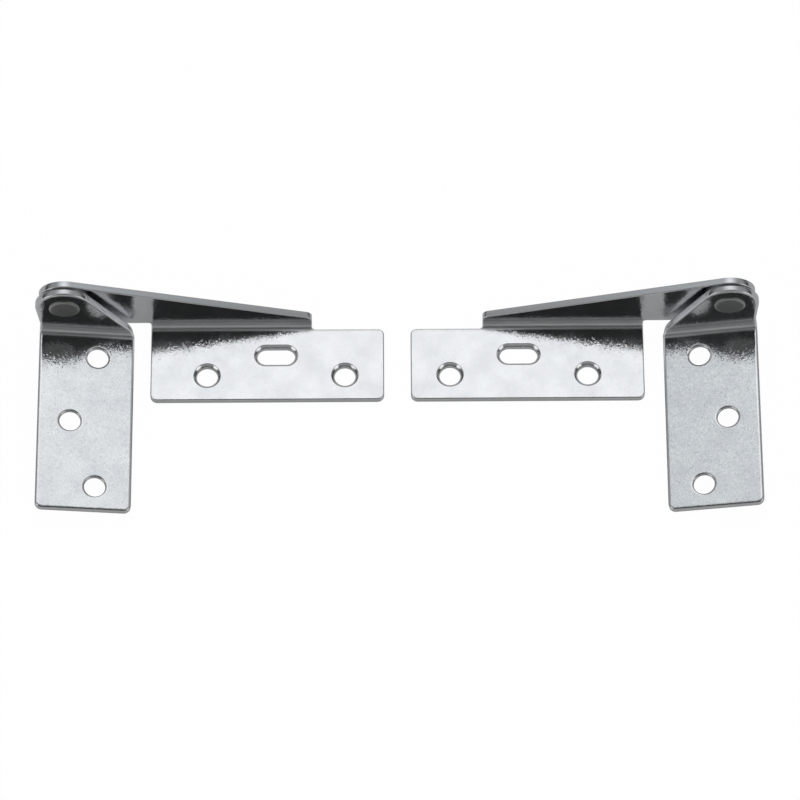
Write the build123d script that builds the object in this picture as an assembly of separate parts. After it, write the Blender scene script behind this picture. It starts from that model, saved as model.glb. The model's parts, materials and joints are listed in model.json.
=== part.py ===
from build123d import *
import math
import os

# A handed pair of pivot hinges for inset cabinet doors, lying on a table.
# Each hinge is a cabinet bracket, a door bracket, the rivet that they turn on and a flat washer.
# The frame is +X to the right, +Y towards the arms and +Z up from the table. The origin lies on
# the table, midway between the two hinges. Sizes are in millimetres and angles in degrees.

# Sheet and bends, the same on both brackets
SHEET = 1.5
BEND_RADIUS = 1.5
EDGE_BREAK = 0.2
BLANK_CORNER = 1.5
INNER_CORNER = 0.8

# Pivot, the rounded ends over it, and the stack of pieces along it
PIVOT_TO_PLATE = 17.9
PIVOT_HEIGHT = 14.1
ARM_ROUND = 5.5
EAR_ROUND = 6.2
WASHER_THICKNESS = 0.75
WASHER_RADIUS = 5.0
EAR_PLAY = 0.05
RUNNING_CLEARANCE = 0.05
SHANK_RADIUS = 2.5
TENON_RADIUS = 2.0
SET_END_RADIUS = 3.1
HEAD_RADIUS = 3.3
HEAD_THICKNESS = 0.3
HEAD_BEVEL = 0.1

# Cabinet bracket: the plate, and the tapered arm along its top
PLATE_WIDTH = 50.0
PLATE_DROP = 19.4
PLATE_SHOULDER = 2.45
ARM_REACH = 34.5
ARM_END_HEIGHT = 4.45
ARM_END_ROUND = 1.5
ARM_REAR_HEIGHT = 2.5
ARM_TAIL_DRAFT = 0.3
ARM_TAIL_CORNER = 0.6
PLATE_SCREW_RADIUS = 2.25
PLATE_SCREW_SPACING = 29.5
PLATE_SCREW_INSET = 12.1
PLATE_SCREW_DROP = 13.6
PLATE_SINK_DEPTH = 0.65
SLOT_LENGTH = 8.1
SLOT_WIDTH = 3.8
SLOT_DROP = 8.85

# Door bracket: the leaf, and the ear that lies under the arm
LEAF_WIDTH = 20.3
LEAF_LENGTH = 43.55
LEAF_OUTER = 4.5
LEAF_DEPTH = 11.35
EAR_FOOT = 10.1
EAR_FOOT_ROUND = 4.0
EAR_KNEE_ROUND = 3.0
LEAF_SCREW_RADIUS = 2.25
LEAF_SCREW_FIRST = 7.75
LEAF_SCREW_PITCH = 15.2
LEAF_SCREW_INSET = 6.95
LEAF_SCREW_STAGGER = 5.6
LEAF_SCREW_LIP = 0.35
LEAF_SINK_DEPTH = 0.75

# How the pair lies: the right leaf comes down to the table, the left one stays a little short of it
PAIR_GAP = 5.7
TABLE_GAP = 0.03
LEFT_LEAF_SHORT = 3.0

# Two faces that meet at less than this angle run on smoothly
SMOOTH_TURN = 25.0

# Places that follow from the sizes, in a bracket's own frame: the pivot runs along Y through
# the origin, the plate lies towards +X, the arm's outer face is at Y = 0
BEND_OUTER = BEND_RADIUS + SHEET
PLATE_BACK = -PIVOT_HEIGHT
PLATE_NEAR = PIVOT_TO_PLATE
PLATE_FAR = PLATE_NEAR + PLATE_WIDTH
ARM_END = PLATE_NEAR + ARM_REACH
EAR_TOP = -SHEET - WASHER_THICKNESS - EAR_PLAY
EAR_UNDER = EAR_TOP - SHEET
HEAD_SEAT = EAR_UNDER - EAR_PLAY
LEAF_INNER = LEAF_WIDTH - LEAF_OUTER
LEAF_BACK = -LEAF_DEPTH
LEAF_END = EAR_TOP - LEAF_LENGTH
PIVOT_X = PAIR_GAP / 2 + PLATE_WIDTH + PIVOT_TO_PLATE
ARM_FACE_Y = -LEAF_END / 2

# The angle at which the leaf's inner back edge comes down to the table
CORNER_REACH = math.hypot(LEAF_INNER, LEAF_DEPTH)
CORNER_ANGLE = math.degrees(math.atan2(LEAF_INNER, LEAF_DEPTH))
LYING_ANGLE = CORNER_ANGLE - math.degrees(math.acos((PIVOT_HEIGHT - TABLE_GAP) / CORNER_REACH))
LEAF_ANGLES = {"left": LYING_ANGLE - LEFT_LEAF_SHORT, "right": LYING_ANGLE}


def bent_strip(flange_face, flange_top, plate_back, plate_end, x_low, x_high):
    """A strip of sheet along X, bent square from an upright flange into a flat plate."""
    bend_y = flange_face - BEND_OUTER
    bend_z = plate_back + BEND_OUTER
    inner_z = plate_back + SHEET
    outline = Polyline(
        (flange_face, bend_z),
        (flange_face, flange_top),
        (flange_face - SHEET, flange_top),
        (flange_face - SHEET, bend_z),
    )
    outline += CenterArc((bend_y, bend_z), BEND_RADIUS, 0, -90)
    outline += Polyline((bend_y, inner_z), (plate_end, inner_z), (plate_end, plate_back), (bend_y, plate_back))
    outline += CenterArc((bend_y, bend_z), BEND_OUTER, -90, 90)
    section = Plane.YZ * make_face(outline)
    return Pos(x_low, 0, 0) * extrude(section, x_high - x_low, dir=(1, 0, 0))


def side_prism(face, y_low, y_high):
    """A prism along Y of an outline drawn in X and Z."""
    section = Plane.XZ * face
    return Pos(0, y_high, 0) * extrude(section, y_high - y_low, dir=(0, -1, 0))


def tangent_point(point, radius, way=1):
    """Where a line from a point touches a circle about the pivot, on the side that way 1 or -1 turns to."""
    distance = math.hypot(point[0], point[1])
    bearing = math.atan2(point[1], point[0])
    turn = way * math.acos(radius / distance)
    return (radius * math.cos(bearing + turn), radius * math.sin(bearing + turn))


def on_circle(radius, angle):
    """The point of a circle about the pivot at an angle from +X."""
    return (radius * math.cos(math.radians(angle)), radius * math.sin(math.radians(angle)))


def arm_outline():
    """The arm seen along the pivot: rounded over the pivot, tapered along its rim."""
    rear = PLATE_BACK + ARM_REAR_HEIGHT
    rim_end = (ARM_END, PLATE_BACK + ARM_END_HEIGHT)
    touch = tangent_point(rim_end, ARM_ROUND)
    tail = (ARM_TAIL_DRAFT - ARM_ROUND, rear)
    corners = [
        (PLATE_NEAR, PLATE_BACK),
        (PLATE_NEAR, rear),
        tail,
        (-ARM_ROUND, 0),
    ]
    outline = Polyline(*corners)
    outline += ThreePointArc((-ARM_ROUND, 0), on_circle(ARM_ROUND, 120), touch)
    outline += Polyline(touch, rim_end, (ARM_END, PLATE_BACK), corners[0])
    face = make_face(outline)
    face = fillet(face.vertices().sort_by_distance((*rim_end, 0))[0], ARM_END_ROUND)
    face = fillet(face.vertices().sort_by_distance((*tail, 0))[0], ARM_TAIL_CORNER)
    return fillet(face.vertices().sort_by_distance((PLATE_NEAR, rear, 0))[0], INNER_CORNER)


def plate_outline():
    """The plate seen square on, with the small neck that joins its shoulder to the arm's end."""
    middle = (PLATE_NEAR + PLATE_FAR) / 2
    height = PLATE_DROP - PLATE_SHOULDER
    plate = Pos(middle, -PLATE_SHOULDER - height / 2) * Rectangle(PLATE_WIDTH, height)
    lower = plate.vertices().sort_by(Axis.Y)[:2]
    upper = plate.vertices().sort_by(Axis.X)[-2:].sort_by(Axis.Y)[-1]
    plate = fillet([*lower, upper], BLANK_CORNER)
    neck_middle = ARM_END + INNER_CORNER / 2
    neck = Pos(neck_middle, INNER_CORNER / 2 - PLATE_SHOULDER) * Rectangle(INNER_CORNER, INNER_CORNER)
    neck -= Pos(ARM_END + INNER_CORNER, INNER_CORNER - PLATE_SHOULDER) * Circle(INNER_CORNER)
    return plate + neck


def leaf_outline():
    """The door bracket seen along the pivot: the ear's round and two slopes, down to the leaf's edges."""
    knee = (-LEAF_OUTER, LEAF_BACK + BEND_OUTER)
    foot = (LEAF_INNER, -EAR_FOOT)
    outer_touch = tangent_point(knee, EAR_ROUND, -1)
    inner_touch = tangent_point(foot, EAR_ROUND)
    below = LEAF_BACK - BEND_OUTER
    outline = Polyline((LEAF_INNER, below), (-LEAF_OUTER, below), knee, outer_touch)
    outline += ThreePointArc(outer_touch, on_circle(EAR_ROUND, 90), inner_touch)
    outline += Polyline(inner_touch, foot, (LEAF_INNER, below))
    face = make_face(outline)
    face = fillet(face.vertices().sort_by_distance((*knee, 0))[0], EAR_KNEE_ROUND)
    return fillet(face.vertices().sort_by_distance((*foot, 0))[0], EAR_FOOT_ROUND)


def screw_hole(radius, sink_depth, surface):
    """A hole through the sheet along Z, sunk at 45 degrees from its upper surface."""
    drill = Pos(0, 0, surface - SHEET) * Cylinder(radius, 4 * SHEET)
    sink = Pos(0, 0, surface - sink_depth / 2) * Cone(radius, radius + sink_depth, sink_depth)
    return drill + sink


def sunk_slot(length, width, sink_depth, surface):
    """A slot through the sheet along X, sunk at 45 degrees from its upper surface."""
    drill = Pos(0, 0, surface - 2 * SHEET) * extrude(SlotOverall(length, width), 4 * SHEET)
    sink = Pos(0, 0, surface - sink_depth) * extrude(SlotOverall(length, width), sink_depth, taper=-45)
    return drill + sink


def sharp_edges(solid):
    """The edges where two faces of a solid meet at a corner, and not in a smooth run."""
    meetings = {}
    for face in solid.faces():
        for edge in face.edges():
            middle = edge @ 0.5
            place = tuple(round(value, 3) for value in middle)
            meetings.setdefault(place, []).append((edge, face.normal_at(middle)))
    pairs = [meeting for meeting in meetings.values() if len(meeting) == 2]
    return [one[0] for one, other in pairs if one[1].get_angle(other[1]) > SMOOTH_TURN]


def deburred(blank):
    """A bent blank with its stamped edges broken all the way round."""
    solid = blank.solids()[0]
    return solid.chamfer(EDGE_BREAK, None, sharp_edges(solid))


def cabinet_bracket():
    """The plate that screws to the cabinet's side and the arm that carries the pivot."""
    beyond = ARM_ROUND + SHEET
    strip = bent_strip(0, beyond, PLATE_BACK, -PLATE_DROP, -beyond, PLATE_FAR)
    arm = side_prism(arm_outline(), -BEND_OUTER, 0)
    plate = Pos(0, 0, PLATE_BACK) * extrude(plate_outline(), BEND_OUTER, dir=(0, 0, 1))
    bracket = deburred(strip & (arm + plate))
    surface = PLATE_BACK + SHEET
    hole = screw_hole(PLATE_SCREW_RADIUS, PLATE_SINK_DEPTH, surface)
    first = PLATE_NEAR + PLATE_SCREW_INSET
    for x in (first, first + PLATE_SCREW_SPACING):
        bracket -= Pos(x, -PLATE_SCREW_DROP, 0) * hole
    slot_x = first + PLATE_SCREW_SPACING / 2
    bracket -= Pos(slot_x, -SLOT_DROP, 0) * sunk_slot(SLOT_LENGTH, SLOT_WIDTH, PLATE_SINK_DEPTH, surface)
    return bracket - rivet_body()


def door_bracket(angle):
    """The leaf that screws to the door's back and the ear that turns under the arm."""
    beyond = EAR_ROUND + SHEET
    strip = bent_strip(EAR_TOP, beyond, LEAF_BACK, LEAF_END, -beyond, LEAF_INNER)
    bracket = (strip & side_prism(leaf_outline(), LEAF_END, EAR_TOP)).solids()[0]
    ends = bracket.edges().group_by(Axis.Y)[0].sort_by(Axis.X)
    bracket = deburred(bracket.fillet(BLANK_CORNER, [ends[0], ends[-1]]))
    hole = Rot(180, 0, 0) * screw_hole(LEAF_SCREW_RADIUS, LEAF_SINK_DEPTH, -LEAF_BACK)
    for row in range(3):
        x = LEAF_SCREW_INSET - LEAF_OUTER + LEAF_SCREW_STAGGER * ((row + 1) % 2)
        y = EAR_TOP - LEAF_SCREW_FIRST - LEAF_SCREW_PITCH * row
        bracket -= Pos(x, y, 0) * hole
    front = bracket.faces().filter_by(Axis.Z).sort_by(Axis.Z)[-1]
    bracket = chamfer(front.inner_wires().edges(), LEAF_SCREW_LIP)
    bracket -= Rot(90, 0, 0) * Cylinder(SHANK_RADIUS + RUNNING_CLEARANCE, 4 * BEND_OUTER)
    return Rot(0, angle, 0) * bracket


def rivet_body():
    """The rivet: a flat head under the ear, a shank that the ear turns on, a tenon set into the arm."""
    set_depth = SET_END_RADIUS - TENON_RADIUS
    head_face = HEAD_SEAT - HEAD_THICKNESS
    outline = Polyline(
        (HEAD_RADIUS, head_face + HEAD_BEVEL),
        (HEAD_RADIUS - HEAD_BEVEL, head_face),
        (0, head_face),
        (0, 0),
        (SET_END_RADIUS, 0),
        (TENON_RADIUS, -set_depth),
        (TENON_RADIUS, -SHEET),
        (SHANK_RADIUS, -SHEET),
        (SHANK_RADIUS, HEAD_SEAT),
        (HEAD_RADIUS, HEAD_SEAT),
        close=True,
    )
    return revolve(make_face(outline), Axis.Y)


def washer_body():
    """The washer that keeps the ear off the arm."""
    ring = Cylinder(WASHER_RADIUS, WASHER_THICKNESS)
    ring -= Cylinder(SHANK_RADIUS + RUNNING_CLEARANCE, WASHER_THICKNESS)
    return Pos(0, -SHEET - WASHER_THICKNESS / 2, 0) * Rot(90, 0, 0) * ring


def hinge(side):
    """One hinge's pieces by name, placed on the table; the right hinge mirrors the left."""
    pieces = {
        "cabinet_bracket": cabinet_bracket(),
        "door_bracket": door_bracket(LEAF_ANGLES[side]),
        "rivet": rivet_body(),
        "washer": washer_body(),
    }
    placed = {}
    for name, piece in pieces.items():
        lying = Pos(-PIVOT_X, ARM_FACE_Y, PIVOT_HEIGHT) * piece
        placed[f"{side}_{name}"] = lying if side == "left" else mirror(lying, about=Plane.YZ)
    return placed


os.makedirs("parts", exist_ok=True)
for side in ("left", "right"):
    for node, solid in hinge(side).items():
        export_step(solid, f"parts/{node}.step")
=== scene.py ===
"""Dresses a handed pair of cabinet pivot hinges.

The brackets are bright plated sheet, joined by set rivets with thin washers, and they lie on a white table.
"""

import json
import logging
import math
from dataclasses import dataclass
from enum import Enum

import bmesh
import bpy
from mathutils import Matrix, Vector

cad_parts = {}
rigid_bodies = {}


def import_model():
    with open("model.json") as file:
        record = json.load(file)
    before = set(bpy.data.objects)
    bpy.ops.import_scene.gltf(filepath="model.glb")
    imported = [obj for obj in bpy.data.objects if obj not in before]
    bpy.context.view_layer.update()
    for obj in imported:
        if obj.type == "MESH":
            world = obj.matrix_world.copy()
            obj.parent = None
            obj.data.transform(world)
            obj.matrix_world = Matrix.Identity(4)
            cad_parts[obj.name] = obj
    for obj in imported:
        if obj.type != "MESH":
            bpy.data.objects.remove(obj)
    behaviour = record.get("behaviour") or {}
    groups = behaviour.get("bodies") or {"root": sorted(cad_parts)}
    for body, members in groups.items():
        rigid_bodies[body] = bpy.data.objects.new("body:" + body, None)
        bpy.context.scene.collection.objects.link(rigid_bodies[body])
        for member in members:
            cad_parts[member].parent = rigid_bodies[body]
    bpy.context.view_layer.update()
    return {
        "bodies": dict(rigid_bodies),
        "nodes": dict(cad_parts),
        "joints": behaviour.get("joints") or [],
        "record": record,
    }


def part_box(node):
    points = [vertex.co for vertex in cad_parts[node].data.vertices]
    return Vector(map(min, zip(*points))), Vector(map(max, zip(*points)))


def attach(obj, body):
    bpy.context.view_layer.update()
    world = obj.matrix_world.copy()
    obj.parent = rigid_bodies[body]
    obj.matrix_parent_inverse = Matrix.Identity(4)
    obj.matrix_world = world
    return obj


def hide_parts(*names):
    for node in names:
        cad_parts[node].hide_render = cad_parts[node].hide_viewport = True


LOG = logging.getLogger("cabinet_hinges")

MM = 0.001
WHITE = (1.0, 1.0, 1.0, 1.0)

# Short names for the types that the functions below take and give
Points = list[tuple[float, float]]
Socket = bpy.types.NodeSocket
Tree = bpy.types.NodeTree

# The kinds of node that are used most
BACKGROUND = "ShaderNodeBackground"
BUMP = "ShaderNodeBump"
MATH = "ShaderNodeMath"
NOISE = "ShaderNodeTexNoise"
RAMP = "ShaderNodeMapRange"
VECTOR_MATH = "ShaderNodeVectorMath"

# What makes a ramp start and end softly
SOFT = {"interpolation_type": "SMOOTHSTEP"}

# The colour sockets of a Mix node go by number, because they share their names with its other sockets
MIX_SHARE = 0
MIX_FROM = 6
MIX_TO = 7
MIX_RESULT = 2

# A name for each layer of data that the finishes read
SHEET_MAP = "sheet_map"
DEPTH_LAYER = "sheet_depth"

# The place of each finish in a bracket's list of materials
FACE_FINISH = 0
EDGE_FINISH = 1

# In millimetres: the narrow band of flat face beside each rim and bend
SUPPORT = 0.05

# In millimetres: how near counts as the same place, and how near a corner lies to a cut that goes through it
CLOSE = 1e-4
TINY = 1e-5

# The least angle between two faces that counts as a sharp edge
SHARP = math.radians(38)


class Hand(Enum):
    """The two hands of the hinge, each with the side of the table that it lies on."""

    LEFT = -1
    RIGHT = 1

    @property
    def word(self) -> str:
        """The hand's name, as the frame's nodes and bodies use it."""
        return self.name.lower()


class Face(Enum):
    """The two faces of a sheet: the back is outside its bend, the front inside."""

    BACK = 0
    FRONT = 1


def linear(hex_colour: str) -> tuple[float, float, float, float]:
    """Turns an sRGB colour into the linear values that a shader takes.

    Args:
        hex_colour: six hexadecimal digits after a hash sign.

    Returns:
        Linear red, green and blue, and an alpha of 1.
    """
    values = [int(hex_colour[place:place + 2], 16) / 255 for place in (1, 3, 5)]
    # The sRGB curve is a straight line near black and a power above it
    red, green, blue = [v / 12.92 if v <= 0.04045 else ((v + 0.055) / 1.055) ** 2.4 for v in values]
    return (red, green, blue, 1.0)


def add_node(
    tree: Tree, kind: str, settings: dict | None = None, inputs: dict | None = None,
) -> bpy.types.Node:
    """Adds a node to a tree, with its settings, values and links.

    Args:
        tree: the material's or the world's nodes.
        kind: the node's type.
        settings: properties of the node by name.
        inputs: values by the socket's name or number; a value that is a socket is linked.

    Returns:
        The new node.
    """
    node = tree.nodes.new(kind)
    for name, value in (settings or {}).items():
        setattr(node, name, value)
    for key, value in (inputs or {}).items():
        if isinstance(value, bpy.types.NodeSocket):
            tree.links.new(value, node.inputs[key])
        else:
            node.inputs[key].default_value = value
    return node


def over(span: tuple[float, float], start: Socket | float, end: Socket | float) -> dict:
    """A ramp's inputs: the span that it runs over, and its values at the two ends."""
    return {"From Min": span[0], "From Max": span[1], "To Min": start, "To Max": end}


def start_material(name: str) -> bpy.types.Material:
    """Makes a material that has no nodes yet.

    Args:
        name: the material's name.

    Returns:
        The new material.
    """
    material = bpy.data.materials.new(name)
    material.use_nodes = True
    material.node_tree.nodes.clear()
    return material


@dataclass(frozen=True)
class PlatedSheet:
    """Bright zinc plate over cold rolled steel that was pressed to shape.

    To the eye it is nearly a mirror with dull clouds and a few dark pits. Its grain and its facets make the
    edges of its reflections sandy. Both are finer on the real sheet, and are drawn as coarse as they need to
    be to show.
    """

    bend_mm: float
    name: str = "bright_zinc_plate"
    colour: str = "#D4D5D6"
    dull_colour: str = "#CCCDCF"
    pit_colour: str = "#6A6A68"
    roughness: float = 0.145
    roughness_spread: tuple[float, float] = (0.85, 1.2)
    grain_mm: float = 0.4
    grain_height_mm: float = 0.012
    grain_detail: float = 3.0
    grain_weight: float = 0.6
    facet_mm: float = 0.26
    facet_tilt: float = 0.4
    cloud_mm: float = 6.0
    cloud_height_mm: float = 0.008
    cloud_detail: float = 4.0
    cloud_weight: float = 0.55
    cloud_span: tuple[float, float] = (0.35, 0.65)
    pit_mm: float = 0.36
    pit_core: float = 0.5
    pit_spacing_mm: float = 17.0
    bend_fade_mm: float = 0.4
    bend_rubbing: float = 0.2

    def make(self) -> bpy.types.Material:
        """Builds the finish's nodes.

        Returns:
            The new material.
        """
        material = start_material(self.name)
        tree = material.node_tree
        sheet = add_node(tree, "ShaderNodeUVMap", {"uv_map": SHEET_MAP}).outputs["UV"]
        cloud = add_node(tree, NOISE, {}, {
            "Vector": sheet, "Scale": 1 / self.cloud_mm,
            "Detail": self.cloud_detail, "Roughness": self.cloud_weight,
        }).outputs["Fac"]
        dull = add_node(tree, RAMP, {}, {"Value": cloud, **over(self.cloud_span, 0.0, 1.0)}).outputs[0]
        shader = add_node(tree, "ShaderNodeBsdfPrincipled", {}, {
            "Base Color": self.tone(tree, sheet, dull), "Metallic": 1.0,
            "Roughness": self.blur(tree, sheet, dull), "Normal": self.relief(tree, sheet, cloud),
        })
        add_node(tree, "ShaderNodeOutputMaterial", {}, {"Surface": shader.outputs["BSDF"]})
        return material

    def tone(self, tree: Tree, sheet: Socket, dull: Socket) -> Socket:
        """Colours the plate, a little greyer where it is dull and dark in its pits.

        Args:
            tree: the material's nodes.
            sheet: the place on the flat sheet, in millimetres.
            dull: how dull the plate is, from 0 to 1.

        Returns:
            The colour.
        """
        centre = add_node(tree, "ShaderNodeTexVoronoi", {}, {
            "Vector": sheet, "Scale": 1 / self.pit_spacing_mm,
        }).outputs["Distance"]
        reach = self.pit_mm / self.pit_spacing_mm / 2
        pit = add_node(tree, RAMP, {}, {
            "Value": centre, **over((reach, reach * self.pit_core), 0.0, 1.0),
        }).outputs[0]
        plain = add_node(tree, "ShaderNodeMix", {"data_type": "RGBA"}, {
            MIX_SHARE: dull, MIX_FROM: linear(self.colour), MIX_TO: linear(self.dull_colour),
        }).outputs[MIX_RESULT]
        return add_node(tree, "ShaderNodeMix", {"data_type": "RGBA"}, {
            MIX_SHARE: pit, MIX_FROM: plain, MIX_TO: linear(self.pit_colour),
        }).outputs[MIX_RESULT]

    def blur(self, tree: Tree, sheet: Socket, dull: Socket) -> Socket:
        """Blurs what the plate mirrors, more where it is dull and along the bend, which the press rubs.

        Args:
            tree: the material's nodes.
            sheet: the place on the flat sheet, in millimetres.
            dull: how dull the plate is, from 0 to 1.

        Returns:
            The roughness.
        """
        least, most = self.roughness_spread
        rough = add_node(tree, RAMP, {}, {
            "Value": dull, "To Min": self.roughness * least, "To Max": self.roughness * most,
        }).outputs[0]
        along = add_node(tree, "ShaderNodeSeparateXYZ", {}, {0: sheet}).outputs["Y"]
        half = self.bend_mm / 2
        off = add_node(tree, MATH, {"operation": "SUBTRACT"}, {0: along, 1: half}).outputs[0]
        away = add_node(tree, MATH, {"operation": "ABSOLUTE"}, {0: off}).outputs[0]
        fade = (half + self.bend_fade_mm, half - self.bend_fade_mm)
        bent = add_node(tree, RAMP, SOFT, {"Value": away, **over(fade, 0.0, self.bend_rubbing)})
        return add_node(tree, MATH, {"operation": "ADD"}, {0: rough, 1: bent.outputs[0]}).outputs[0]

    def relief(self, tree: Tree, sheet: Socket, cloud: Socket) -> Socket:
        """Tilts the surface by its facets, the grain of the sheet and long shallow waves.

        Each facet leans at random, most of them only a little, which gives the reflections their sandy edge.

        Args:
            tree: the material's nodes.
            sheet: the place on the flat sheet, in millimetres.
            cloud: the height of the waves, from 0 to 1.

        Returns:
            The normal.
        """
        facet = add_node(tree, "ShaderNodeTexVoronoi", {}, {
            "Vector": sheet, "Scale": 1 / self.facet_mm,
        }).outputs["Color"]
        lean = add_node(tree, VECTOR_MATH, {"operation": "SUBTRACT"}, {0: facet, 1: (0.5,) * 3}).outputs[0]
        square = add_node(tree, VECTOR_MATH, {"operation": "MULTIPLY"}, {0: lean, 1: lean}).outputs[0]
        cube = add_node(tree, VECTOR_MATH, {"operation": "MULTIPLY"}, {0: square, 1: lean}).outputs[0]
        level = add_node(tree, "ShaderNodeNewGeometry").outputs["Normal"]
        leaning = add_node(tree, VECTOR_MATH, {"operation": "MULTIPLY_ADD"}, {
            0: cube, 1: (self.facet_tilt,) * 3, 2: level,
        }).outputs[0]
        facets = add_node(tree, VECTOR_MATH, {"operation": "NORMALIZE"}, {0: leaning}).outputs[0]
        waves = add_node(tree, BUMP, {}, {
            "Height": cloud, "Distance": self.cloud_height_mm * MM, "Strength": 1.0, "Normal": facets,
        }).outputs["Normal"]
        grain = add_node(tree, NOISE, {}, {
            "Vector": sheet, "Scale": 1 / self.grain_mm,
            "Detail": self.grain_detail, "Roughness": self.grain_weight,
        }).outputs["Fac"]
        return add_node(tree, BUMP, {}, {
            "Height": grain, "Distance": self.grain_height_mm * MM, "Strength": 1.0, "Normal": waves,
        }).outputs["Normal"]


@dataclass(frozen=True)
class ShearedEdge:
    """The plated edge that the press left on the sheet.

    To the eye it is two bands: a smooth one that shines where the punch cut, and a rougher one where it
    broke, with a line between them that wanders. The streaks are drawn as coarse as they need to be to show.
    """

    name: str = "sheared_zinc_edge"
    colour: str = "#C4C5C7"
    cut_share: float = 0.45
    cut_fade: tuple[float, float] = (0.14, 0.08)
    cut_wander: float = 0.22
    cut_roughness: float = 0.11
    broken_roughness: float = 0.24
    streak_mm: float = 0.3
    streak_height_mm: float = 0.012
    streak_detail: float = 4.0
    streak_weight: float = 0.65

    def make(self) -> bpy.types.Material:
        """Builds the finish's nodes.

        Returns:
            The new material.
        """
        material = start_material(self.name)
        tree = material.node_tree
        sheet = add_node(tree, "ShaderNodeUVMap", {"uv_map": SHEET_MAP}).outputs["UV"]
        depth = add_node(tree, "ShaderNodeAttribute", {"attribute_name": DEPTH_LAYER}).outputs["Fac"]
        streak = add_node(tree, NOISE, {}, {
            "Vector": sheet, "Scale": 1 / self.streak_mm,
            "Detail": self.streak_detail, "Roughness": self.streak_weight,
        }).outputs["Fac"]
        wander = add_node(tree, MATH, {"operation": "MULTIPLY_ADD"}, {
            0: streak, 1: self.cut_wander, 2: depth,
        }).outputs[0]
        start, end = (self.cut_share + past for past in self.cut_fade)
        broken = add_node(tree, RAMP, SOFT, {"Value": wander, **over((start, end), 0.0, 1.0)}).outputs[0]
        rough = add_node(tree, RAMP, {}, {
            "Value": broken, "To Min": self.cut_roughness, "To Max": self.broken_roughness,
        }).outputs[0]
        height = add_node(tree, MATH, {"operation": "MULTIPLY"}, {0: streak, 1: broken}).outputs[0]
        bump = add_node(tree, BUMP, {}, {
            "Height": height, "Distance": self.streak_height_mm * MM, "Strength": 1.0,
        }).outputs["Normal"]
        shader = add_node(tree, "ShaderNodeBsdfPrincipled", {}, {
            "Base Color": linear(self.colour), "Metallic": 1.0, "Roughness": rough, "Normal": bump,
        })
        add_node(tree, "ShaderNodeOutputMaterial", {}, {"Surface": shader.outputs["BSDF"]})
        return material


@dataclass(frozen=True)
class TurnedSteel:
    """Plain steel wire or strip, turned or punched and then tumbled.

    To the eye it is a satin grey metal with a fine even grain, drawn as coarse as it needs to be to show.
    """

    name: str
    colour: str
    roughness: float
    roughness_spread: tuple[float, float] = (0.9, 1.15)
    grain_mm: float = 0.3
    grain_height_mm: float = 0.003
    grain_detail: float = 3.0
    grain_weight: float = 0.6
    grain_span: tuple[float, float] = (0.3, 0.7)

    def make(self) -> bpy.types.Material:
        """Builds the finish's nodes.

        Returns:
            The new material.
        """
        material = start_material(self.name)
        tree = material.node_tree
        place = add_node(tree, "ShaderNodeTexCoord").outputs["Object"]
        grain = add_node(tree, NOISE, {}, {
            "Vector": place, "Scale": 1 / (self.grain_mm * MM),
            "Detail": self.grain_detail, "Roughness": self.grain_weight,
        }).outputs["Fac"]
        least, most = (self.roughness * share for share in self.roughness_spread)
        rough = add_node(tree, RAMP, {}, {
            "Value": grain, **over(self.grain_span, least, most),
        }).outputs[0]
        bump = add_node(tree, BUMP, {}, {
            "Height": grain, "Distance": self.grain_height_mm * MM, "Strength": 1.0,
        }).outputs["Normal"]
        shader = add_node(tree, "ShaderNodeBsdfPrincipled", {}, {
            "Base Color": linear(self.colour), "Metallic": 1.0, "Roughness": rough, "Normal": bump,
        })
        add_node(tree, "ShaderNodeOutputMaterial", {}, {"Surface": shader.outputs["BSDF"]})
        return material


@dataclass(frozen=True)
class Stock:
    """The sheet that both brackets are stamped from, in millimetres."""

    thickness: float = 1.5
    bend_radius: float = 1.5
    bend_cuts: int = 18

    @property
    def outer_radius(self) -> float:
        """The radius of the bend's outside."""
        return self.bend_radius + self.thickness

    @property
    def middle_radius(self) -> float:
        """The radius on which the sheet keeps its length through the bend."""
        return self.bend_radius + self.thickness / 2

    @property
    def bend_length(self) -> float:
        """The length of flat sheet that a square bend takes up."""
        return self.middle_radius * math.pi / 2


@dataclass(frozen=True)
class Finishes:
    """The materials of the hinges, each made once."""

    plate: bpy.types.Material
    edge: bpy.types.Material
    rivet: bpy.types.Material
    washer: bpy.types.Material

    @classmethod
    def make(cls, stock: Stock) -> "Finishes":
        """Makes every finish.

        Args:
            stock: the sheet whose bend the plate's finish follows.

        Returns:
            The finishes.
        """
        return cls(
            PlatedSheet(stock.bend_length).make(),
            ShearedEdge().make(),
            TurnedSteel("rivet_steel", "#A2A3A1", 0.45).make(),
            TurnedSteel("washer_steel", "#8E9093", 0.35).make(),
        )


@dataclass(frozen=True)
class Rim:
    """The soft edge of a cut on one face of the sheet: its reach over the face and down the wall."""

    reach: float
    depth: float
    steps: int = 4

    def points(self) -> Points:
        """Gives the lines of the rim, from the wall to the face.

        Returns:
            How far in from the cut and how far under the face each line lies.
        """
        turns = [math.pi / 2 * step / self.steps for step in range(self.steps + 1)]
        curve = [(self.reach * (1 - math.cos(turn)), self.depth * (1 - math.sin(turn))) for turn in turns]
        return curve + [(self.reach + SUPPORT, 0.0)]


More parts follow.
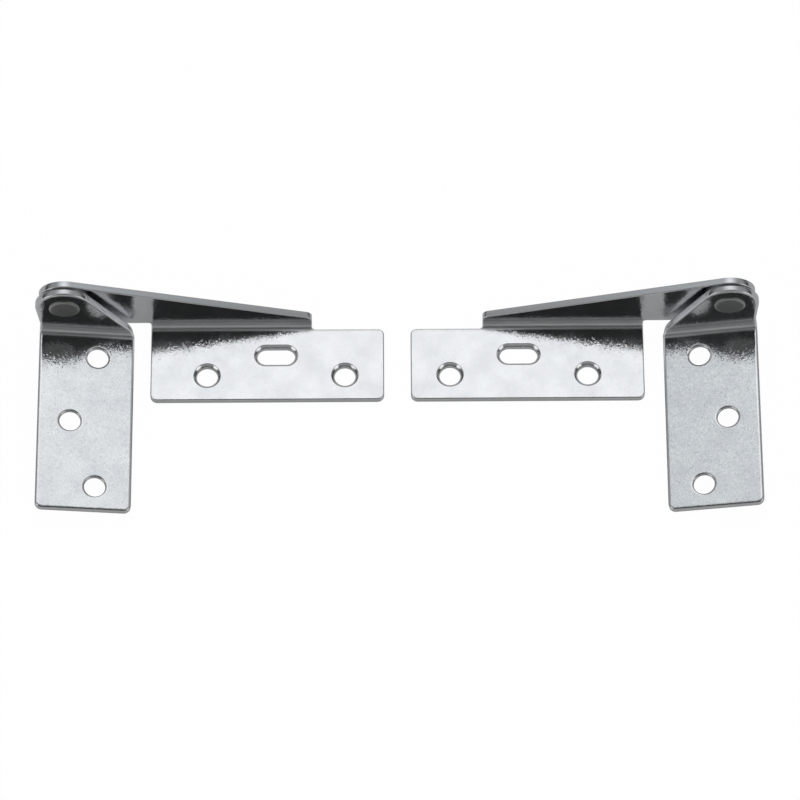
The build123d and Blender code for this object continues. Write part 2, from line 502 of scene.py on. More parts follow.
@dataclass(frozen=True)
class Hole:
    """A punched hole or slot, in a blank's millimetres: across is along the bend, along square to it."""

    across: float
    along: float
    radius: float
    stretch: float = 0.0
    sunk_from: Face | None = None
    sink_depth: float = 0.0
    lip: Rim = Rim(0.12, 0.1)
    sink_lip: float = 0.07

    def side(self, face: Face) -> Points:
        """Gives the rings of the hole's rim or countersink on one face, from its wall to the face.

        Args:
            face: the face of the sheet.

        Returns:
            How far out from the wall and how far under the face each ring lies.
        """
        if self.sunk_from is not face:
            return self.lip.points()
        wide = self.sink_depth
        return [
            (0.0, wide + self.sink_lip),
            (self.sink_lip / 2, wide - self.sink_lip / 2),
            (wide - self.sink_lip, self.sink_lip),
            (wide, self.sink_lip / 4),
            (wide + self.sink_lip, 0.0),
            (wide + self.sink_lip + SUPPORT, 0.0),
        ]


class Blank:
    """A flat blank that is cut out, pierced, sunk and bent as the press does it, in millimetres.

    X runs along the bend, Y square to it with 0 where the bend starts, and Z from the back to the front.
    """

    ROUND_STEP = math.radians(6)
    HOLE_SIDES = 64
    FEWEST_ARC_STEPS = 2
    FEWEST_CORNER_STEPS = 3
    WALL_LEAN = 0.05

    def __init__(self, stock: Stock, x: float, y: float) -> None:
        """Starts the outline.

        Args:
            stock: the sheet that the blank is cut from.
            x: the first corner's place along the bend.
            y: its place square to the bend.
        """
        self.stock = stock
        self.mesh = bmesh.new()
        self.first = self.mesh.verts.new((x, y, 0))
        self.last = self.first

    def line(self, x: float, y: float) -> None:
        """Runs the outline straight on to a corner.

        Args:
            x: the corner's place along the bend.
            y: its place square to the bend.
        """
        corner = self.mesh.verts.new((x, y, 0))
        self.mesh.edges.new((self.last, corner))
        self.last = corner

    def sweep(self, x: float, y: float, angle: float) -> None:
        """Runs the outline round a centre.

        Args:
            x: the centre's place along the bend.
            y: its place square to the bend.
            angle: how far round, in radians, positive to the left.
        """
        made = bmesh.ops.spin(
            self.mesh, geom=[self.last], cent=(x, y, 0), axis=(0, 0, 1), dvec=(0, 0, 0), angle=angle,
            steps=max(self.FEWEST_ARC_STEPS, round(abs(angle) / self.ROUND_STEP)),
            use_merge=False, use_duplicate=False,
        )
        self.last = next(part for part in made["geom_last"] if isinstance(part, bmesh.types.BMVert))

    def close(self) -> None:
        """Closes the outline and fills it with one face."""
        self.mesh.edges.new((self.last, self.first))
        bmesh.ops.contextual_create(self.mesh, geom=self.mesh.edges[:])

    def round_corner(self, x: float, y: float, radius: float) -> None:
        """Rounds the outline's corner nearest to a point.

        Args:
            x: the point's place along the bend.
            y: its place square to the bend.
            radius: the radius of the round.
        """
        corner = min(self.mesh.verts, key=lambda vert: (vert.co - Vector((x, y, 0))).length)
        ways = [(edge.other_vert(corner).co - corner.co).normalized() for edge in corner.link_edges]
        turn = math.pi - ways[0].angle(ways[1])
        bmesh.ops.bevel(
            self.mesh, geom=[corner], offset=radius * math.tan(turn / 2), affect="VERTICES",
            segments=max(self.FEWEST_CORNER_STEPS, round(turn / self.ROUND_STEP)), profile=0.5, material=-1,
        )

    def press(self, front: Rim, back: Rim, holes: list[Hole]) -> None:
        """Makes the outline a sheet with its holes.

        Args:
            front: the rim of the cut on the sheet's front.
            back: the rim of the cut on its back.
            holes: the holes and slots that are punched in it.
        """
        self.thicken(front, back)
        for hole in holes:
            self.pierce(hole)
        self.fill()
        self.mark()

    def thicken(self, front: Rim, back: Rim) -> None:
        """Gives the outline the sheet's thickness, and leaves both faces open.

        Args:
            front: the rim of the cut on the sheet's front.
            back: the rim of the cut on its back.
        """
        bottom = self.mesh.faces[:][0]
        made = bmesh.ops.extrude_face_region(self.mesh, geom=[bottom])
        top = next(part for part in made["geom"] if isinstance(part, bmesh.types.BMFace))
        bmesh.ops.translate(self.mesh, vec=(0, 0, self.stock.thickness - front.depth), verts=top.verts[:])
        bmesh.ops.translate(self.mesh, vec=(0, 0, back.depth), verts=bottom.verts[:])
        bmesh.ops.recalc_face_normals(self.mesh, faces=self.mesh.faces[:])
        for face, rim in ((top, front), (bottom, back)):
            points = rim.points()
            for (reach, depth), (next_reach, next_depth) in zip(points, points[1:]):
                bmesh.ops.inset_region(
                    self.mesh, faces=[face], thickness=next_reach - reach, depth=depth - next_depth,
                    use_boundary=True, use_even_offset=True,
                )
        bmesh.ops.delete(self.mesh, geom=[top, bottom], context="FACES_ONLY")

    def pierce(self, hole: Hole) -> None:
        """Cuts a hole: the line of its wall, with its rim or its countersink, is swept round its edge.

        Args:
            hole: the hole or slot.
        """
        back = hole.side(Face.BACK)[::-1]
        front = [(reach, self.stock.thickness - depth) for reach, depth in hole.side(Face.FRONT)]
        start = hole.across + hole.stretch / 2
        wall = hole.along - hole.radius
        line = [self.mesh.verts.new((start, wall - reach, height)) for reach, height in back + front]
        swept = line + [self.mesh.edges.new(pair) for pair in zip(line, line[1:])]
        for side in (1, -1):
            centre = (hole.across + side * hole.stretch / 2, hole.along, 0)
            shift = (-side * hole.stretch, 0, 0)
            for angle, move, steps in ((math.pi, (0, 0, 0), self.HOLE_SIDES // 2), (0, shift, 1)):
                if angle or hole.stretch:
                    swept = bmesh.ops.spin(
                        self.mesh, geom=swept, cent=centre, axis=(0, 0, 1), dvec=move, angle=angle,
                        steps=steps, use_merge=False, use_duplicate=False,
                    )["geom_last"]
        ends = line + [part for part in swept if isinstance(part, bmesh.types.BMVert)]
        bmesh.ops.remove_doubles(self.mesh, verts=ends, dist=CLOSE)

    def fill(self) -> None:
        """Fills both faces of the sheet between the outline's rim and the holes."""
        for edge in self.mesh.edges:
            edge.seam = True
        for face in Face:
            level = face.value * self.stock.thickness
            rim = [
                edge for edge in self.mesh.edges
                if edge.is_boundary and all(abs(vert.co.z - level) < CLOSE for vert in edge.verts)
            ]
            bmesh.ops.triangle_fill(self.mesh, use_beauty=True, edges=rim, normal=(0, 0, 1))
        bmesh.ops.recalc_face_normals(self.mesh, faces=self.mesh.faces[:])

    def mark(self) -> None:
        """Writes the sheet map, the depth through the sheet and the finish of each face."""
        sheet_map = self.mesh.loops.layers.uv.new(SHEET_MAP)
        depth = self.mesh.verts.layers.float.new(DEPTH_LAYER)
        for vert in self.mesh.verts:
            vert[depth] = vert.co.z / self.stock.thickness
        self.mesh.normal_update()
        for face in self.mesh.faces:
            wall = abs(face.normal.z) < self.WALL_LEAN
            face.material_index = EDGE_FINISH if wall else FACE_FINISH
            for loop in face.loops:
                loop[sheet_map].uv = loop.vert.co.xy

    def bend(self, flange_face: float, plate_back: float) -> None:
        """Bends the blank square along its bend, and puts it where its flange and its plate lie.

        Args:
            flange_face: the place along Y of the bent-up part's back face.
            plate_back: the height of the flat part's back face.
        """
        stock = self.stock
        cuts = [stock.bend_length * cut / stock.bend_cuts for cut in range(stock.bend_cuts + 1)]
        low, high = -SUPPORT, stock.bend_length + SUPPORT
        for level in [low, *cuts, high]:
            bmesh.ops.bisect_plane(
                self.mesh, geom=self.mesh.verts[:] + self.mesh.edges[:] + self.mesh.faces[:], dist=TINY,
                plane_co=(0, level, 0), plane_no=(0, 1, 0),
            )
        # The fill's slanting edges go from between the cuts, so that each strip of the bend is one flat face
        slanting = []
        for edge in self.mesh.edges:
            start, end = sorted(vert.co.y for vert in edge.verts)
            if not edge.seam and end - start > CLOSE and start > low - CLOSE and end < high + CLOSE:
                slanting.append(edge)
        bmesh.ops.dissolve_edges(self.mesh, edges=slanting, use_verts=False, use_face_split=False)
        centre = Vector((0, flange_face - stock.outer_radius, plate_back + stock.outer_radius))
        for vert in self.mesh.verts:
            run = vert.co.y
            turn = min(max(run, 0.0), stock.bend_length) / stock.middle_radius
            reach = stock.outer_radius - vert.co.z
            straight = min(run, 0.0)
            rise = max(run - stock.bend_length, 0.0)
            vert.co.y = centre.y + reach * math.sin(turn) + straight
            vert.co.z = centre.z - reach * math.cos(turn) + rise


def to_piece(
    mesh: bmesh.types.BMesh, name: str, place: Matrix, materials: list[bpy.types.Material],
) -> bpy.types.Object:
    """Makes a finished shape an object in its place, shaded smooth but at its sharp edges.

    Args:
        mesh: the shape, in the hinge's own millimetres.
        name: the object's name.
        place: the transform from there to the row frame.
        materials: one for each material index.

    Returns:
        The new object, at the origin.
    """
    bmesh.ops.transform(mesh, matrix=place, verts=mesh.verts[:])
    if place.determinant() < 0:
        bmesh.ops.reverse_faces(mesh, faces=mesh.faces[:])
    mesh.normal_update()
    for face in mesh.faces:
        face.smooth = True
    for edge in mesh.edges:
        edge.smooth = edge.calc_face_angle(0) < SHARP
    data = bpy.data.meshes.new(name)
    mesh.to_mesh(data)
    mesh.free()
    for material in materials:
        data.materials.append(material)
    piece = bpy.data.objects.new(name, data)
    bpy.context.scene.collection.objects.link(piece)
    return piece


def revolve(
    profile: Points, rounds: dict[int, float], sides: int = 72, round_cuts: int = 4,
) -> bmesh.types.BMesh:
    """Turns a closed profile about the Y axis.

    Args:
        profile: radius and place along Y of each corner, in millimetres, in order.
        rounds: the radius that a corner, by its number, is rounded to.
        sides: the number of steps round.
        round_cuts: the number of steps in a rounded corner.

    Returns:
        The turned shape, in the same millimetres.
    """
    mesh = bmesh.new()
    corners = [mesh.verts.new((radius, along, 0)) for radius, along in profile]
    mesh.faces.new(corners)
    for number, radius in rounds.items():
        bmesh.ops.bevel(
            mesh, geom=[corners[number]], offset=radius, affect="VERTICES", segments=round_cuts,
            profile=0.5, material=-1,
        )
    bmesh.ops.delete(mesh, geom=mesh.faces[:], context="FACES_ONLY")
    axis = [edge for edge in mesh.edges if all(abs(vert.co.x) < CLOSE for vert in edge.verts)]
    bmesh.ops.delete(mesh, geom=axis, context="EDGES")
    bmesh.ops.spin(
        mesh, geom=mesh.edges[:] + mesh.verts[:], cent=(0, 0, 0), axis=(0, 1, 0), dvec=(0, 0, 0),
        angle=2 * math.pi, steps=sides, use_merge=True, use_duplicate=False,
    )
    bmesh.ops.remove_doubles(mesh, verts=mesh.verts[:], dist=CLOSE)
    bmesh.ops.dissolve_degenerate(mesh, edges=mesh.edges[:], dist=TINY)
    bmesh.ops.recalc_face_normals(mesh, faces=mesh.faces[:])
    return mesh


@dataclass(frozen=True)
class Stack:
    """What lies along the pivot, from the arm's outer face inwards, in millimetres."""

    sheet: float = 1.5
    washer: float = 0.75
    play: float = 0.05
    head: float = 0.3

    @property
    def ear_face(self) -> float:
        """The place of the ear's outer face."""
        return -self.sheet - self.washer - self.play

    @property
    def head_seat(self) -> float:
        """The place of the face that the rivet's head closes with."""
        return self.ear_face - self.sheet - self.play


def tangent_angle(x: float, y: float, radius: float, side: int = 1) -> float:
    """The bearing at which a line from a point touches a circle about the origin, on side 1 or -1."""
    return math.atan2(y, x) + side * math.acos(radius / math.hypot(x, y))


@dataclass
class CabinetBracket:
    """The plate that screws to the cabinet, with the arm bent up along it, in millimetres from the pivot."""

    stock: Stock
    pivot_height: float
    plate_near: float = 17.9
    plate_width: float = 50.0
    plate_drop: float = 19.4
    plate_shoulder: float = 2.45
    corner: float = 1.5
    inner_corner: float = 0.8
    round_radius: float = 5.5
    arm_reach: float = 34.5
    arm_end_height: float = 4.45
    arm_end_round: float = 1.5
    tail_height: float = 2.5
    tail_draft: float = 0.3
    tail_corner: float = 0.6
    screw_radius: float = 2.25
    screw_spacing: float = 29.5
    screw_inset: float = 12.1
    screw_drop: float = 13.6
    slot_length: float = 8.1
    slot_width: float = 3.8
    slot_drop: float = 8.85
    sink_depth: float = 0.65
    rivet_radius: float = 2.0
    set_depth: float = 1.1
    front: Rim = Rim(0.26, 0.22)
    back: Rim = Rim(0.15, 0.12)

    def flat(self, height: float) -> float:
        """Finds a height of the bent bracket on its flat blank.

        Args:
            height: how far above the plate's back.

        Returns:
            The place along the blank.
        """
        stock = self.stock
        if height >= stock.outer_radius:
            return stock.bend_length + height - stock.outer_radius
        return stock.middle_radius * math.acos((stock.outer_radius - height) / stock.middle_radius)

    def blank(self) -> Blank:
        """Cuts the bracket's flat outline.

        Returns:
            The blank, still without thickness.
        """
        stock = self.stock
        pivot = self.flat(self.pivot_height)
        low = stock.outer_radius - self.plate_drop
        shoulder = stock.middle_radius * math.asin(
            (stock.outer_radius - self.plate_shoulder) / stock.middle_radius
        )
        far = self.plate_near + self.plate_width
        arm_end = self.plate_near + self.arm_reach
        rim_end = self.flat(self.arm_end_height)
        tail = self.flat(self.tail_height)
        tail_side = self.tail_draft - self.round_radius
        touch = tangent_angle(arm_end, rim_end - pivot, self.round_radius)
        blank = Blank(stock, self.plate_near, low)
        blank.line(far, low)
        blank.line(far, shoulder)
        blank.line(arm_end, shoulder)
        blank.line(arm_end, rim_end)
        blank.line(self.round_radius * math.cos(touch), pivot + self.round_radius * math.sin(touch))
        blank.sweep(0, pivot, math.pi - touch)
        blank.line(tail_side, tail)
        blank.line(self.plate_near, tail)
        blank.close()
        blank.round_corner(self.plate_near, low, self.corner)
        blank.round_corner(far, low, self.corner)
        blank.round_corner(far, shoulder, self.corner)
        blank.round_corner(arm_end, shoulder, self.inner_corner)
        blank.round_corner(arm_end, rim_end, self.arm_end_round)
        blank.round_corner(tail_side, tail, self.tail_corner)
        blank.round_corner(self.plate_near, tail, self.inner_corner)
        return blank

    def holes(self) -> list[Hole]:
        """Lays out the holes.

        Returns:
            The plate's two screw holes and its slot, and the hole that the rivet is set in.
        """
        first = self.plate_near + self.screw_inset
        last = first + self.screw_spacing
        middle = first + self.screw_spacing / 2
        row = self.stock.outer_radius - self.screw_drop
        slot_row = self.stock.outer_radius - self.slot_drop
        slot_radius = self.slot_width / 2
        stretch = self.slot_length - self.slot_width
        pivot = self.flat(self.pivot_height)
        return [
            Hole(first, row, self.screw_radius, sunk_from=Face.FRONT, sink_depth=self.sink_depth),
            Hole(last, row, self.screw_radius, sunk_from=Face.FRONT, sink_depth=self.sink_depth),
            Hole(middle, slot_row, slot_radius, stretch, Face.FRONT, self.sink_depth),
            Hole(0, pivot, self.rivet_radius, sunk_from=Face.BACK, sink_depth=self.set_depth),
        ]

    def build(self) -> bmesh.types.BMesh:
        """Stamps and bends the bracket.

        Returns:
            The shape, in the hinge's own millimetres.
        """
        blank = self.blank()
        blank.press(self.front, self.back, self.holes())
        blank.bend(0, -self.pivot_height)
        return blank.mesh


@dataclass
class DoorBracket:
    """The leaf that screws to the door, with the ear under the arm, in millimetres from the pivot."""

    stock: Stock
    ear_face: float
    depth: float = 11.35
    length: float = 43.55
    width: float = 20.3
    outer: float = 4.5
    corner: float = 1.5
    round_radius: float = 6.2
    foot_depth: float = 10.1
    foot_round: float = 4.0
    knee_round: float = 3.0
    screw_count: int = 3
    screw_radius: float = 2.25
    screw_first: float = 7.75
    screw_pitch: float = 15.2
    screw_inset: float = 6.95
    screw_stagger: float = 5.6
    sink_depth: float = 0.75
    shank_hole: float = 2.55
    front: Rim = Rim(0.6, 0.3)
    back: Rim = Rim(0.2, 0.2)
    screw_lip: Rim = Rim(0.48, 0.3)

    def pivot_row(self) -> float:
        """The place of the pivot on the blank."""
        return self.stock.bend_length + self.depth - self.stock.outer_radius

    def blank(self) -> Blank:
        """Cuts the bracket's flat outline.

        Returns:
            The blank, still without thickness.
        """
        inner = self.width - self.outer
        low = self.stock.outer_radius - self.length
        pivot = self.pivot_row()
        foot = pivot - self.foot_depth
        knee = self.stock.bend_length
        touch = tangent_angle(inner, foot - pivot, self.round_radius)
        outer_touch = tangent_angle(-self.outer, knee - pivot, self.round_radius, -1) + 2 * math.pi
        blank = Blank(self.stock, -self.outer, low)
        blank.line(inner, low)
        blank.line(inner, foot)
        blank.line(self.round_radius * math.cos(touch), pivot + self.round_radius * math.sin(touch))
        blank.sweep(0, pivot, outer_touch - touch)
        blank.line(-self.outer, knee)
        blank.close()
        blank.round_corner(-self.outer, low, self.corner)
        blank.round_corner(inner, low, self.corner)
        blank.round_corner(inner, foot, self.foot_round)
        blank.round_corner(-self.outer, knee, self.knee_round)
        return blank

    def holes(self) -> list[Hole]:
        """Lays out the holes.

        Returns:
            The ear's hole for the rivet's shank and the leaf's screw holes, every other one set further in.
        """
        holes = [Hole(0, self.pivot_row(), self.shank_hole)]
        for row in range(self.screw_count):
            across = self.screw_inset - self.outer + self.screw_stagger * ((row + 1) % 2)
            along = self.stock.outer_radius - self.screw_first - self.screw_pitch * row
            holes.append(Hole(
                across, along, self.screw_radius,
                sunk_from=Face.BACK, sink_depth=self.sink_depth, lip=self.screw_lip,
            ))
        return holes

    def build(self) -> bmesh.types.BMesh:
        """Stamps and bends the bracket.

        Returns:
            The shape, in the hinge's own millimetres.
        """
        blank = self.blank()
        blank.press(self.front, self.back, self.holes())
        blank.bend(self.ear_face, -self.depth)
        return blank.mesh


@dataclass
class Rivet:
    """The rivet that the ear turns on: a thin head, a shank and an end set into the arm, in millimetres."""

    stack: Stack
    head_radius: float = 3.3
    head_flat: float = 2.85
    head_edge: float = 0.1
    head_round: float = 0.15
    shank_radius: float = 2.5
    tenon_radius: float = 2.0
    set_radius: float = 3.1

    def build(self) -> bmesh.types.BMesh:
        """Turns the rivet.

        Returns:
            The shape, in the hinge's own millimetres.
        """
        stack = self.stack
        head_face = stack.head_seat - stack.head
        set_depth = self.set_radius - self.tenon_radius
        return revolve([
            (0, head_face),
            (self.head_flat, head_face),
            (self.head_radius, stack.head_seat - self.head_edge),
            (self.head_radius, stack.head_seat),
            (self.shank_radius, stack.head_seat),
            (self.shank_radius, -stack.sheet),
            (self.tenon_radius, -stack.sheet),
            (self.tenon_radius, -set_depth),
            (self.set_radius, 0),
            (0, 0),
        ], {1: self.head_round})


@dataclass
class Washer:
    """The washer between the arm and the ear, in millimetres."""

    stack: Stack
    radius: float = 5.0
    bore: float = 2.55
    edge_round: float = 0.06

    def build(self) -> bmesh.types.BMesh:
        """Turns the washer.

        Returns:
            The shape, in the hinge's own millimetres.
        """
        top = -self.stack.sheet
        bottom = top - self.stack.washer
        return revolve([
            (self.bore, bottom), (self.radius, bottom), (self.radius, top), (self.bore, top),
        ], {1: self.edge_round, 2: self.edge_round})


@dataclass
class Hinge:
    """One hand of the hinge: its two brackets, the rivet and the washer, placed from the frame."""

    hand: Hand
    frame: dict
    stock: Stock
    finishes: Finishes
    stack: Stack = Stack()

    def pivot(self) -> Vector:
        """Finds the pivot's place where it leaves the arm's outer face.

        Returns:
            The place in the row frame.
        """
        joint = next(j for j in self.frame["joints"] if j["name"] == f"{self.hand.word}_pivot")
        across, _, height = joint["pos_m"]
        return Vector((across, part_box(f"{self.hand.word}_cabinet_bracket")[1].y, height))

    def leaf_angle(self) -> float:
        """Finds how far the leaf is turned from lying flat, from the direction that its back faces.

        Returns:
            The angle in radians.
        """
        name = f"{self.hand.word}_leaf_back"
        mount = next(m for m in self.frame["record"]["mounts"] if m["name"] == name)
        return math.atan2(abs(mount["axis"][0]), abs(mount["axis"][2]))

    def place(self, turn: float = 0.0) -> Matrix:
        """The transform to the row frame from millimetres that have the plate on their +X side."""
        mirror = Matrix.Diagonal((-self.hand.value * MM, MM, MM, 1))
        return Matrix.Translation(self.pivot()) @ mirror @ Matrix.Rotation(turn, 4, "Y")

    def pieces(self) -> dict[str, bpy.types.Object]:
        """Makes the hinge's pieces.

        Returns:
            Each piece, by the part of the hinge that it is.
        """
        word = self.hand.word
        sheet = [self.finishes.plate, self.finishes.edge]
        still = self.place()
        turned = self.place(self.leaf_angle())
        cabinet = CabinetBracket(self.stock, self.pivot().z / MM).build()
        door = DoorBracket(self.stock, self.stack.ear_face).build()
        rivet = Rivet(self.stack).build()
        washer = Washer(self.stack).build()
        return {
            "cabinet_bracket": to_piece(cabinet, f"{word}_arm_and_plate", still, sheet),
            "door_bracket": to_piece(door, f"{word}_ear_and_leaf", turned, sheet),
            "rivet": to_piece(rivet, f"{word}_set_rivet", still, [self.finishes.rivet]),
            "washer": to_piece(washer, f"{word}_thin_washer", still, [self.finishes.washer]),
        }

    def build(self) -> None:
        """Makes the hinge's pieces and joins them to the frame's bodies."""
        word = self.hand.word
        for part, piece in self.pieces().items():
            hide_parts(f"{word}_{part}")
            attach(piece, f"{word}_leaf" if part == "door_bracket" else "cabinet_side")
            LOG.info("%s: %d faces", piece.name, len(piece.data.polygons))


@dataclass(frozen=True)
class Studio:
    """The white table, the light over it and the camera, in millimetres and degrees.

    The light is a lamp above and behind, a white card low in front on each side, and a dim room with a dark
    zone round the camera. A direction is given by its slopes: side is X over Z, either way, and reach is Y
    over Z, which grows away from the camera.
    """

    # The camera
    target: tuple[float, float, float] = (0.51, 4.01, 0.0)
    tilt: float = 26.15
    roll: float = 0.322
    distance: float = 1033.6
    farthest: float = 20000.0
    lens: float = 217.5
    sensor: float = 36.0

    # The table, and how much of it and of the white page each ray sees
    table: float = 4000.0
    table_drop: float = 0.1
    table_colour: str = "#EDEDED"
    table_share: float = 0.04
    page_light: float = 1.02
    page_share: float = 0.21

    # The lamp above and behind
    lamp_light: float = 0.99
    lamp_colour: tuple[float, float, float] = (0.985, 0.99, 1.0)
    lamp_side_colour: tuple[float, float, float] = (0.80, 0.92, 1.04)
    lamp_side: tuple[float, float] = (-0.05, 0.72)
    lamp_near: tuple[float, float] = (0.12, 0.36)
    lamp_far: tuple[float, float] = (1.6, 2.6)

    # The room, from its horizon to its ceiling
    room_light: float = 0.42
    room_colour: tuple[float, float, float] = (0.98, 1.0, 0.99)
    horizon_light: float = 0.07
    front_light: float = 0.16
    horizon_rise: tuple[float, float] = (0.08, 0.55)
    horizon_front: tuple[float, float] = (0.1, -0.25)
    lowest: float = 0.02

    # The dark zone round the camera
    dark_light: float = 0.02
    dark_reach: float = -0.48
    dark_size: tuple[float, float] = (0.58, 0.42)
    dark_fade: tuple[float, float] = (0.8, 1.25)

    # The card on each side
    card_light: float = 1.1
    card_way: tuple[float, float, float] = (0.84, -0.43, 0.33)
    card_fade: tuple[float, float] = (22.0, 12.0)

    def camera_way(self) -> Vector:
        """The direction from the target to the camera."""
        tilt = math.radians(self.tilt)
        return Vector((0, -math.sin(tilt), math.cos(tilt)))

    def add_camera(self) -> None:
        """Puts the camera where the photograph was taken from."""
        data = bpy.data.cameras.new("photo_camera")
        data.lens = self.lens
        data.sensor_width = self.sensor
        data.clip_end = self.farthest * MM
        camera = bpy.data.objects.new("photo_camera", data)
        tilt = Matrix.Rotation(math.radians(self.tilt), 4, "X")
        roll = Matrix.Rotation(-math.radians(self.roll), 4, "Z")
        place = (Vector(self.target) + self.camera_way() * self.distance) * MM
        camera.matrix_world = Matrix.Translation(place) @ (tilt @ roll)
        bpy.context.scene.collection.objects.link(camera)
        bpy.context.scene.camera = camera

    def table_finish(self) -> bpy.types.Material:
        """Makes the matt white laminate, which the camera sees as a white page with little shadow left.

        Returns:
            The new material.
        """
        material = start_material("white_table")
        tree = material.node_tree
        path = add_node(tree, "ShaderNodeLightPath").outputs
        mirrored = add_node(tree, MATH, {"operation": "MAXIMUM"}, {
            0: path["Is Glossy Ray"], 1: path["Is Transmission Ray"],
        }).outputs[0]
        mirrored_share = add_node(tree, MATH, {"operation": "MULTIPLY"}, {
            0: mirrored, 1: self.page_share,
        }).outputs[0]
        share = add_node(tree, RAMP, {}, {
            "Value": path["Is Camera Ray"], "To Min": mirrored_share, "To Max": 1 - self.table_share,
        }).outputs[0]
        matt = add_node(tree, "ShaderNodeBsdfDiffuse", {}, {"Color": linear(self.table_colour)}).outputs[0]
        page = add_node(tree, "ShaderNodeEmission", {}, {
            "Color": WHITE, "Strength": self.page_light,
        }).outputs[0]
        both = add_node(tree, "ShaderNodeMixShader", {}, {0: share, 1: matt, 2: page}).outputs[0]
        add_node(tree, "ShaderNodeOutputMaterial", {}, {"Surface": both})
        return material

    def add_table(self) -> None:
        """Lays the table under the hinges."""
        mesh = bmesh.new()
        bmesh.ops.create_grid(mesh, x_segments=1, y_segments=1, size=self.table * MM / 2)
        data = bpy.data.meshes.new("table")
        mesh.to_mesh(data)
        mesh.free()
        data.materials.append(self.table_finish())
        table = bpy.data.objects.new("table", data)
        table.location.z = -self.table_drop * MM
        bpy.context.scene.collection.objects.link(table)

    def lamp(self, tree: Tree, side: Socket, reach: Socket) -> tuple[Socket, Socket]:
        """Hangs the lamp, whose light is bluer towards its sides.

        Args:
            tree: the world's nodes.
            side: the direction's slope to either side.
            reach: the direction's slope away from the camera.

        Returns:
            The lamp's strength and its colour.
        """
        light = add_node(tree, RAMP, SOFT, {
            "Value": side, **over(self.lamp_side, self.lamp_light, 0.0),
        }).outputs[0]
        for span, start, end in ((self.lamp_near, 0.0, 1.0), (self.lamp_far, 1.0, 0.0)):
            edge = add_node(tree, RAMP, SOFT, {"Value": reach, **over(span, start, end)}).outputs[0]
            light = add_node(tree, MATH, {"operation": "MULTIPLY"}, {0: light, 1: edge}).outputs[0]
        outer = add_node(tree, RAMP, SOFT, {
            "Value": side, **over(self.lamp_side, 0.0, 1.0),
        }).outputs[0]
        colour = add_node(tree, "ShaderNodeMix", {"data_type": "RGBA"}, {
            MIX_SHARE: outer, MIX_FROM: (*self.lamp_colour, 1), MIX_TO: (*self.lamp_side_colour, 1),
        }).outputs[MIX_RESULT]
        return light, colour

    def card(self, tree: Tree, way: dict[str, Socket]) -> Socket:
        """Stands the cards, one on each side.

        Args:
            tree: the world's nodes.
            way: the direction's parts, by axis.

        Returns:
            The cards' strength.
        """
        side = add_node(tree, MATH, {"operation": "ABSOLUTE"}, {0: way["X"]}).outputs[0]
        folded = add_node(tree, "ShaderNodeCombineXYZ", {}, {0: side, 1: way["Y"], 2: way["Z"]}).outputs[0]
        along = add_node(tree, VECTOR_MATH, {"operation": "DOT_PRODUCT"}, {
            0: folded, 1: Vector(self.card_way).normalized(),
        }).outputs["Value"]
        start, end = (math.cos(math.radians(angle)) for angle in self.card_fade)
        return add_node(tree, RAMP, SOFT, {
            "Value": along, **over((start, end), 0.0, self.card_light),
        }).outputs[0]

    def room(self, tree: Tree, way: dict[str, Socket], side: Socket, reach: Socket) -> Socket:
        """Lights the room, dark at its horizon and round the camera.

        Args:
            tree: the world's nodes.
            way: the direction's parts, by axis.
            side: its slope to either side.
            reach: its slope away from the camera.

        Returns:
            The room's strength.
        """
        horizon = add_node(tree, RAMP, SOFT, {
            "Value": way["Y"], **over(self.horizon_front, self.horizon_light, self.front_light),
        }).outputs[0]
        light = add_node(tree, RAMP, SOFT, {
            "Value": way["Z"], **over(self.horizon_rise, horizon, self.room_light),
        }).outputs[0]
        beyond = add_node(tree, MATH, {"operation": "SUBTRACT"}, {0: reach, 1: self.dark_reach}).outputs[0]
        squares = []
        for slope, size in zip((side, beyond), self.dark_size):
            share = add_node(tree, MATH, {"operation": "DIVIDE"}, {0: slope, 1: size}).outputs[0]
            squares.append(add_node(tree, MATH, {"operation": "POWER"}, {0: share, 1: 2.0}).outputs[0])
        total = add_node(tree, MATH, {"operation": "ADD"}, dict(enumerate(squares))).outputs[0]
        spread = add_node(tree, MATH, {"operation": "SQRT"}, {0: total}).outputs[0]
        dark = add_node(tree, RAMP, SOFT, {
            "Value": spread, **over(self.dark_fade, self.dark_light / self.room_light, 1.0),
        }).outputs[0]
        return add_node(tree, MATH, {"operation": "MULTIPLY"}, {0: light, 1: dark}).outputs[0]

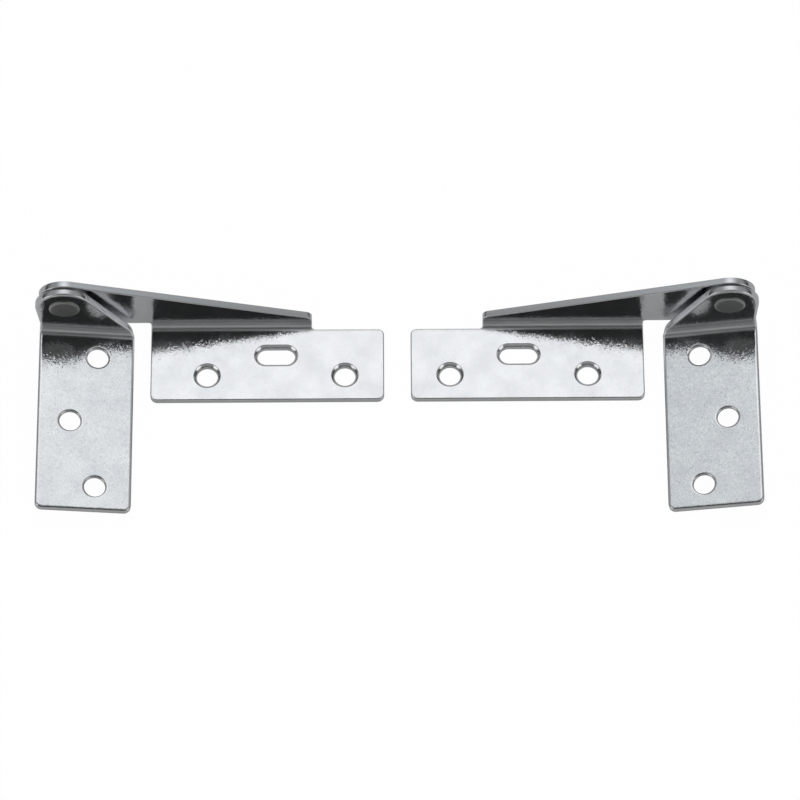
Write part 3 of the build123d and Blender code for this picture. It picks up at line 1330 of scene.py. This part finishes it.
    def add_light(self) -> None:
        """Lights the hinges, and shows the camera a plain white page."""
        world = bpy.data.worlds.new("studio")
        bpy.context.scene.world = world
        world.use_nodes = True
        tree = world.node_tree
        tree.nodes.clear()
        direction = add_node(tree, "ShaderNodeTexCoord").outputs["Generated"]
        parts = add_node(tree, "ShaderNodeSeparateXYZ", {}, {0: direction}).outputs
        way = {axis: parts[axis] for axis in "XYZ"}
        height = add_node(tree, MATH, {"operation": "MAXIMUM"}, {0: way["Z"], 1: self.lowest}).outputs[0]
        slope = add_node(tree, MATH, {"operation": "DIVIDE"}, {0: way["X"], 1: height}).outputs[0]
        side = add_node(tree, MATH, {"operation": "ABSOLUTE"}, {0: slope}).outputs[0]
        reach = add_node(tree, MATH, {"operation": "DIVIDE"}, {0: way["Y"], 1: height}).outputs[0]
        lamp, lamp_colour = self.lamp(tree, side, reach)
        card = self.card(tree, way)
        room = self.room(tree, way, side, reach)
        lamps = add_node(tree, BACKGROUND, {}, {"Color": lamp_colour, "Strength": lamp}).outputs[0]
        cards = add_node(tree, BACKGROUND, {}, {"Color": WHITE, "Strength": card}).outputs[0]
        dim = add_node(tree, BACKGROUND, {}, {"Color": (*self.room_colour, 1), "Strength": room}).outputs[0]
        bright = add_node(tree, "ShaderNodeAddShader", {}, {0: lamps, 1: cards}).outputs[0]
        light = add_node(tree, "ShaderNodeAddShader", {}, {0: bright, 1: dim}).outputs[0]
        page = add_node(tree, BACKGROUND, {}, {"Color": WHITE, "Strength": 1.0}).outputs[0]
        seen = add_node(tree, "ShaderNodeLightPath").outputs["Is Camera Ray"]
        both = add_node(tree, "ShaderNodeMixShader", {}, {0: seen, 1: light, 2: page}).outputs[0]
        add_node(tree, "ShaderNodeOutputWorld", {}, {"Surface": both})

    def build(self) -> None:
        """Sets the studio up round the hinges."""
        self.add_camera()
        self.add_table()
        self.add_light()
        bpy.context.scene.view_settings.view_transform = "Standard"


def main() -> None:
    """Builds the hinges and the studio round the frame."""
    logging.basicConfig(level=logging.INFO, format="%(name)s: %(message)s")
    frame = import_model()
    stock = Stock()
    finishes = Finishes.make(stock)
    for hand in Hand:
        Hinge(hand, frame, stock, finishes).build()
    Studio().build()


if __name__ == "__main__":
    main()
